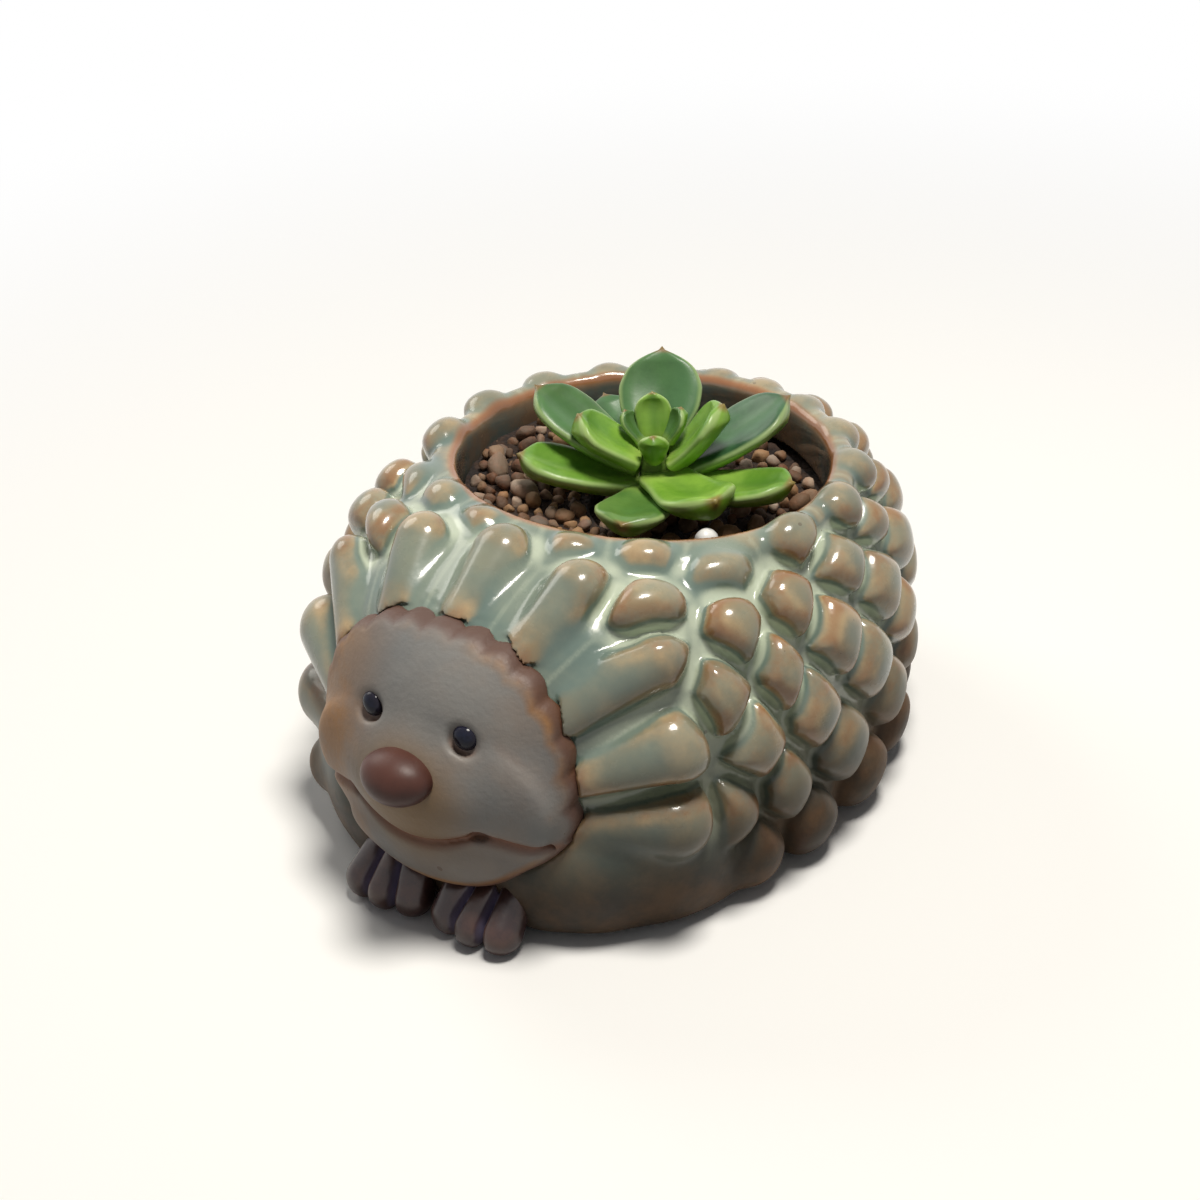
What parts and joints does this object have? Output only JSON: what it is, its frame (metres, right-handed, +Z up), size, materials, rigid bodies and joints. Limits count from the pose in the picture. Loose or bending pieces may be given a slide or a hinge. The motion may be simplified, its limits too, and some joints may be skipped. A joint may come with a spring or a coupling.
{
  "type": "animal shaped planter",
  "caption": "Glazed stoneware pot shaped as a hedgehog, with a round mouth in its back holding a lift-out succulent",
  "frame": {"origin": "lower end of the drain hole, in the middle of the pot's oval at the level of its foot", "axes": "+Z up, the animal faces -Y, +X is the animal's left"},
  "size_m": [0.1038, 0.1304, 0.071],
  "materials": {
    "glaze": "glossy celadon glaze breaking brown",
    "bare_clay": "matt bare clay with iron stain",
    "nose_clay": "satin slip",
    "eye_glaze": "glossy",
    "paw_glaze": "satin brown glaze",
    "mesh_plastic": "matt",
    "gravel": "rough",
    "soil": "crumbly",
    "pebble": "smooth",
    "stem_skin": "satin",
    "leaf_skin": "waxy"
  },
  "bodies": {
    "pot": {"drain_mesh": "mesh_plastic", "drainage_layer": "gravel", "face_plate": "bare_clay", "face_spines": "glaze", "left_eye": "eye_glaze", "left_paw": "paw_glaze", "nose": "nose_clay", "pot_shell": "glaze", "potting_mix": "soil", "right_eye": "eye_glaze", "right_paw": "paw_glaze", "rim_spines": "glaze", "spine_row_1": "glaze", "spine_row_2": "glaze", "spine_row_3": "glaze", "spine_row_4": "glaze", "spine_row_5": "glaze", "top_dressing": "gravel", "white_pebble": "pebble"},
    "plant": {"root_plug": "soil", "stem": "stem_skin", "leaf_01": "leaf_skin", "leaf_02": "leaf_skin", "leaf_03": "leaf_skin", "leaf_04": "leaf_skin", "leaf_05": "leaf_skin", "leaf_06": "leaf_skin", "leaf_07": "leaf_skin", "leaf_08": "leaf_skin", "leaf_09": "leaf_skin", "leaf_10": "leaf_skin", "leaf_11": "leaf_skin", "leaf_12": "leaf_skin", "leaf_13": "leaf_skin", "leaf_14": "leaf_skin"}
  },
  "joints": [
    {"name": "plant_lift", "type": "slide", "parent": "pot", "child": "plant", "axis": [0, 0, 1], "range_m": [0, 0.06]}
  ]
}
